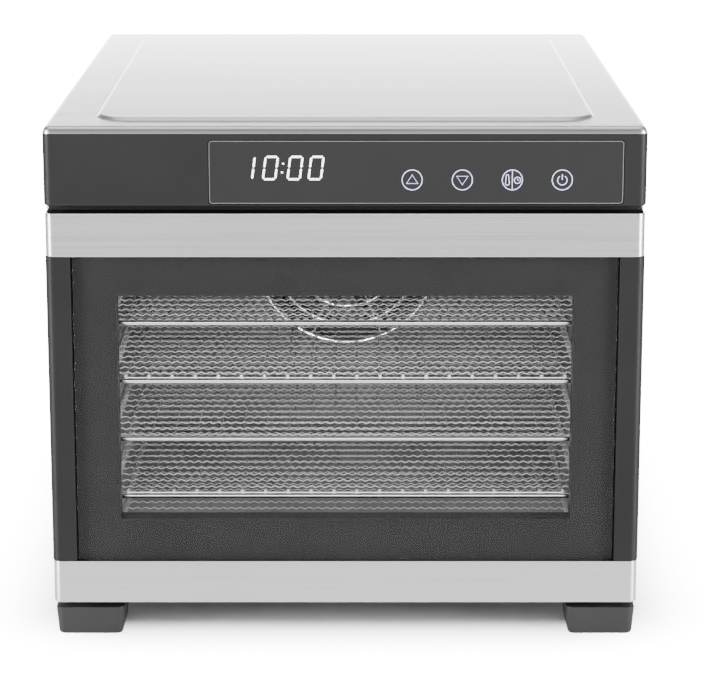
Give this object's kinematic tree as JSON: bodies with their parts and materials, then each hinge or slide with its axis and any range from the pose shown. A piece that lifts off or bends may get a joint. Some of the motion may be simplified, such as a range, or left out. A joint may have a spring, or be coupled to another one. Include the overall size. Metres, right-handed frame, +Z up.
{
  "type": "food dehydrator",
  "caption": "Countertop cabinet food dehydrator with a drop-down glass door, sliding wire mesh trays and a rear fan with a ring heater.",
  "frame": {"origin": "on the standing surface, under the centre of the overall box", "axes": "+X to the right seen from the front, +Y to the back (the door faces -Y), +Z up"},
  "size_m": [0.345, 0.45, 0.3057],
  "materials": {
    "brushed_steel": "long brushed grain, satin",
    "plain_steel": "plain rolled sheet",
    "bright_wire": "bright drawn stainless wire",
    "steel_fixings": "zinc plated",
    "aluminium": "plain sheet",
    "motor_paint": "satin dark grey",
    "heater_sheath": "oxidised metal sheath",
    "charcoal_plastic": "fine satin",
    "black_plastic": "matt",
    "panel_gloss": "smooth gloss",
    "window_glass": "clear, slightly grey",
    "border_enamel": "printed enamel under the glass",
    "seal_rubber": "matt",
    "circuit_board": "solder mask",
    "white_plastic": "plain",
    "touch_spring_brass": "bright",
    "magnet": "nickel grey"
  },
  "bodies": {
    "cabinet": {"base_pan": "plain_steel", "outer_cover": "brushed_steel", "rear_panel": "plain_steel", "rear_grille": "motor_paint", "front_frame": "black_plastic", "liner_left": "plain_steel", "liner_right": "plain_steel", "liner_roof": "plain_steel", "liner_floor": "plain_steel", "tray_runners_left": "plain_steel", "tray_runners_right": "plain_steel", "fan_baffle": "plain_steel", "fan_guard": "bright_wire", "motor_plate": "plain_steel", "fan_motor": "motor_paint", "motor_screws": "steel_fixings", "heating_element": "heater_sheath", "heater_clips": "plain_steel", "thermal_cutout": "black_plastic", "temperature_probe": "steel_fixings", "control_housing": "charcoal_plastic", "control_panel_glass": "panel_gloss", "led_display": "white_plastic", "display_board": "circuit_board", "touch_springs": "touch_spring_brass", "power_board": "circuit_board", "power_board_parts": "black_plastic", "board_standoffs": "white_plastic", "foot_front_left": "charcoal_plastic", "foot_front_right": "charcoal_plastic", "foot_rear_left": "charcoal_plastic", "foot_rear_right": "charcoal_plastic", "foot_screws": "steel_fixings", "rear_screws": "steel_fixings", "cord_gland": "black_plastic", "cord_gland_nut": "black_plastic", "hinge_brackets": "plain_steel", "hinge_pins": "steel_fixings", "catch_magnets": "magnet"},
    "door": {"door_glass": "window_glass", "door_glass_border": "border_enamel", "door_carrier": "black_plastic", "door_back_panel": "black_plastic", "door_seal": "seal_rubber", "door_top_band": "brushed_steel", "door_bottom_band": "brushed_steel", "door_left_stile": "charcoal_plastic", "door_right_stile": "charcoal_plastic", "door_top_cap": "charcoal_plastic", "door_hinge_bushes": "white_plastic", "door_catch_plates": "plain_steel"},
    "fan": {"fan_shaft": "steel_fixings", "fan_blade": "aluminium", "fan_nut": "steel_fixings"},
    "tray_1_body": {"tray_1": "bright_wire"},
    "tray_2_body": {"tray_2": "bright_wire"},
    "tray_3_body": {"tray_3": "bright_wire"},
    "tray_4_body": {"tray_4": "bright_wire"},
    "tray_5_body": {"tray_5": "bright_wire"},
    "tray_6_body": {"tray_6": "bright_wire"}
  },
  "joints": [
    {"name": "door_hinge", "type": "hinge", "parent": "cabinet", "child": "door", "pos_m": [0, -0.217, 0.0285], "axis": [1, 0, 0], "range_deg": [0, 90]},
    {"name": "fan_spin", "type": "hinge", "parent": "cabinet", "child": "fan", "pos_m": [0, 0.137, 0.163], "axis": [0, 1, 0], "continuous": true},
    {"name": "tray_1_slide", "type": "slide", "parent": "cabinet", "child": "tray_1_body", "axis": [0, -1, 0], "range_m": [0, 0.29]},
    {"name": "tray_2_slide", "type": "slide", "parent": "cabinet", "child": "tray_2_body", "axis": [0, -1, 0], "range_m": [0, 0.28]},
    {"name": "tray_3_slide", "type": "slide", "parent": "cabinet", "child": "tray_3_body", "axis": [0, -1, 0], "range_m": [0, 0.22]},
    {"name": "tray_4_slide", "type": "slide", "parent": "cabinet", "child": "tray_4_body", "axis": [0, -1, 0], "range_m": [0, 0.16]},
    {"name": "tray_5_slide", "type": "slide", "parent": "cabinet", "child": "tray_5_body", "axis": [0, -1, 0], "range_m": [0, 0.095]},
    {"name": "tray_6_slide", "type": "slide", "parent": "cabinet", "child": "tray_6_body", "axis": [0, -1, 0], "range_m": [0, 0.025]}
  ],
  "couplings": [
    {"joint": "tray_1_slide", "follows": "door_hinge", "m_per_rad": 0.18461},
    {"joint": "tray_2_slide", "follows": "door_hinge", "m_per_rad": 0.17825},
    {"joint": "tray_3_slide", "follows": "door_hinge", "m_per_rad": 0.14005},
    {"joint": "tray_4_slide", "follows": "door_hinge", "m_per_rad": 0.10185},
    {"joint": "tray_5_slide", "follows": "door_hinge", "m_per_rad": 0.06047},
    {"joint": "tray_6_slide", "follows": "door_hinge", "m_per_rad": 0.01591}
  ]
}
